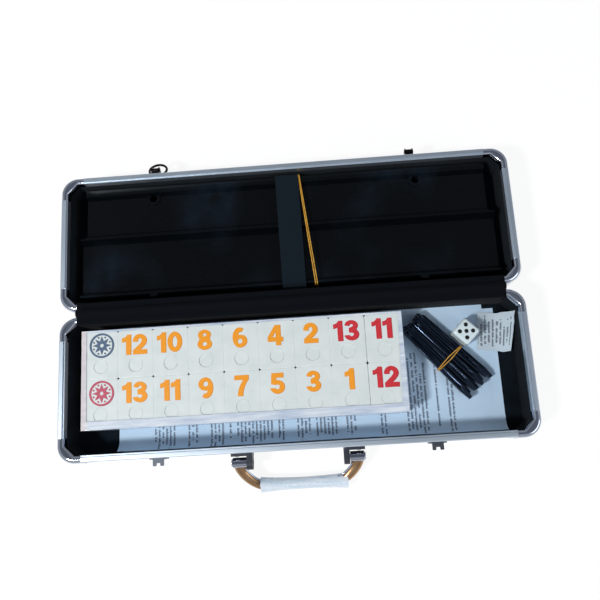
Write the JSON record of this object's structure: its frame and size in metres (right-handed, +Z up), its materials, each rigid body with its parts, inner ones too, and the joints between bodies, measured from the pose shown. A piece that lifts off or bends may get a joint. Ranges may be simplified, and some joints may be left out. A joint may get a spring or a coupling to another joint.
{
  "type": "rummy game case",
  "caption": "Slim hinged aluminium carrying case with chromed corners, two latches and a folding handle, open flat on a tray of numbered tiles, tile racks, their legs and a die.",
  "frame": {"origin": "centre of the underside of the base half, which lies on the surface beside the open lid", "axes": "+X along the case to the right as seen from the handle, +Y from the handle across the base to the opened lid, +Z up"},
  "size_m": [0.3526, 0.2653, 0.0366],
  "materials": {
    "wall_panel": "satin silver laminate on board",
    "rail_aluminium": "satin anodised",
    "corner_chrome": "polished chrome plate",
    "lining_cloth": "black cloth over board",
    "hinge_cloth": "black cloth strip",
    "rivet_metal": "bright aluminium",
    "hinge_steel": "plated steel",
    "bracket_metal": "dark grey paint",
    "latch_steel": "bright plated steel",
    "leaflet_paper": "blue-grey uncoated paper",
    "slip_paper": "white paper with grey print",
    "die_plastic": "polished white plastic",
    "rack_plastic": "glossy black plastic",
    "band_rubber": "yellow rubber",
    "strap_elastic": "black elastic webbing",
    "tray_plastic": "thin milky plastic",
    "tile_plastic": "ivory plastic with printed numbers",
    "grip_plastic": "silver-grey plastic",
    "clear_film": "clear protective film"
  },
  "bodies": {
    "base": {"base_bottom_panel": "wall_panel", "base_front_board": "wall_panel", "base_back_board": "wall_panel", "base_left_board": "wall_panel", "base_right_board": "wall_panel", "base_rim_front": "rail_aluminium", "base_rim_back": "rail_aluminium", "base_rim_left": "rail_aluminium", "base_rim_right": "rail_aluminium", "base_edge_rails": "rail_aluminium", "base_corner_posts": "corner_chrome", "base_lining": "lining_cloth", "base_hinge_cloth": "hinge_cloth", "base_rivets": "rivet_metal", "hinge_leaf_base": "hinge_steel", "hinge_pin": "hinge_steel", "handle_bracket_left": "bracket_metal", "handle_bracket_right": "bracket_metal", "handle_pins": "latch_steel", "catch_plates": "latch_steel", "rules_leaflet": "leaflet_paper", "game_die": "die_plastic", "rack_legs": "rack_plastic", "leg_band": "band_rubber", "paper_slip": "slip_paper"},
    "tile_pack": {"tile_tray": "tray_plastic", "tile_stack": "tile_plastic", "top_tiles": "tile_plastic"},
    "lid": {"lid_top_panel": "wall_panel", "lid_front_board": "wall_panel", "lid_back_board": "wall_panel", "lid_left_board": "wall_panel", "lid_right_board": "wall_panel", "lid_rim_front": "rail_aluminium", "lid_rim_back": "rail_aluminium", "lid_rim_left": "rail_aluminium", "lid_rim_right": "rail_aluminium", "lid_edge_rails": "rail_aluminium", "lid_corner_posts": "corner_chrome", "lid_lining": "lining_cloth", "lid_hinge_cloth": "hinge_cloth", "lid_rivets": "rivet_metal", "hinge_leaf_lid": "hinge_steel", "latch_keeper_left": "latch_steel", "latch_keeper_right": "latch_steel", "latch_pins": "latch_steel", "tile_rack_1": "rack_plastic", "tile_rack_2": "rack_plastic", "tile_rack_3": "rack_plastic", "tile_rack_4": "rack_plastic", "rack_strap": "strap_elastic", "rack_band": "band_rubber"},
    "handle": {"handle_arm_left": "corner_chrome", "handle_arm_right": "corner_chrome", "handle_grip": "grip_plastic", "grip_film": "clear_film"},
    "latch_left": {"latch_lever_left": "latch_steel"},
    "latch_right": {"latch_lever_right": "latch_steel"},
    "key_ring": {"key_ring": "latch_steel"}
  },
  "joints": [
    {"name": "lid_hinge", "type": "hinge", "parent": "base", "child": "lid", "pos_m": [0, 0.0564, 0.03415], "axis": [1, 0, 0], "range_deg": [0, 180]},
    {"name": "handle_swing", "type": "hinge", "parent": "base", "child": "handle", "pos_m": [0, -0.0606, 0.017], "axis": [1, 0, 0], "range_deg": [-121, 58.5]},
    {"name": "latch_left_swing", "type": "hinge", "parent": "lid", "child": "latch_left", "pos_m": [-0.101, 0.1709, 0.0278], "axis": [1, 0, 0], "range_deg": [0, 180]},
    {"name": "latch_right_swing", "type": "hinge", "parent": "lid", "child": "latch_right", "pos_m": [0.101, 0.1709, 0.0278], "axis": [1, 0, 0], "range_deg": [0, 180]},
    {"name": "key_ring_swing", "type": "hinge", "parent": "lid", "child": "key_ring", "pos_m": [-0.101, 0.1686, 0.0234], "axis": [-1, 0, 0], "range_deg": [-70, 57]},
    {"name": "tile_tray_lift", "type": "slide", "parent": "base", "child": "tile_pack", "axis": [0, 0, -1], "range_m": [-0.08, 0]}
  ]
}
